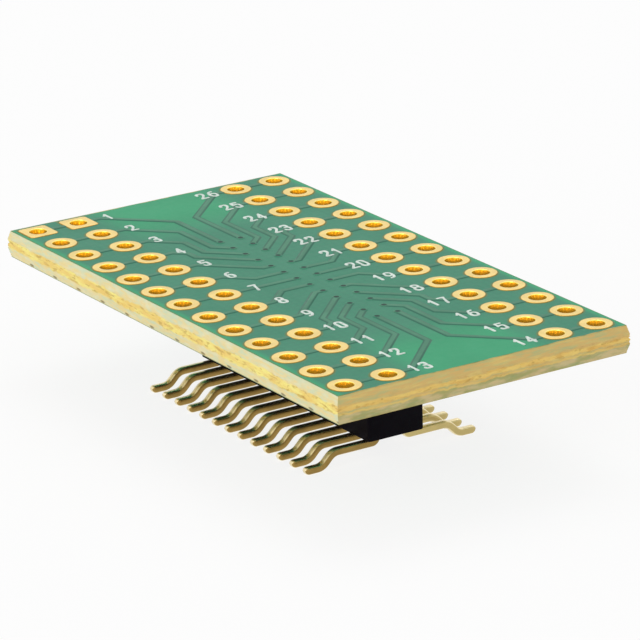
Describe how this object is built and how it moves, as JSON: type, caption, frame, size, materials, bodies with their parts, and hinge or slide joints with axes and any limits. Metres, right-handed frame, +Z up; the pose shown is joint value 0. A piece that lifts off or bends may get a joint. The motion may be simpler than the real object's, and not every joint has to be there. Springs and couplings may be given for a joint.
{
  "type": "ic programming adapter",
  "caption": "Circuit board with rows of plated holes, raised on a black header whose gull-wing legs solder to a surface-mount footprint.",
  "frame": {"origin": "centre of the footprint, on the plane that the feet stand on", "axes": "+Z up from the feet to the board, +Y along the rows of holes towards holes 1 and 26, +X from the side of pins 1 to 13 towards the side of pins 14 to 26"},
  "size_m": [0.0178, 0.033, 0.0077],
  "materials": {
    "laminate": "yellow glass-epoxy laminate, rough where it was snapped off its panel",
    "solder_mask": "glossy green solder mask",
    "insulator": "black moulded plastic, satin",
    "plated_pins": "gold-plated copper alloy, bright",
    "solder": "solder, satin"
  },
  "bodies": {
    "root": {"circuit_board": "laminate", "solder_mask_top": "solder_mask", "solder_mask_bottom": "solder_mask", "header_body": "insulator", "solder_joints": "solder", "pin_01": "plated_pins", "pin_02": "plated_pins", "pin_03": "plated_pins", "pin_04": "plated_pins", "pin_05": "plated_pins", "pin_06": "plated_pins", "pin_07": "plated_pins", "pin_08": "plated_pins", "pin_09": "plated_pins", "pin_10": "plated_pins", "pin_11": "plated_pins", "pin_12": "plated_pins", "pin_13": "plated_pins", "pin_14": "plated_pins", "pin_15": "plated_pins", "pin_16": "plated_pins", "pin_17": "plated_pins", "pin_18": "plated_pins", "pin_19": "plated_pins", "pin_20": "plated_pins", "pin_21": "plated_pins", "pin_22": "plated_pins", "pin_23": "plated_pins", "pin_24": "plated_pins", "pin_25": "plated_pins", "pin_26": "plated_pins"}
  },
  "joints": []
}
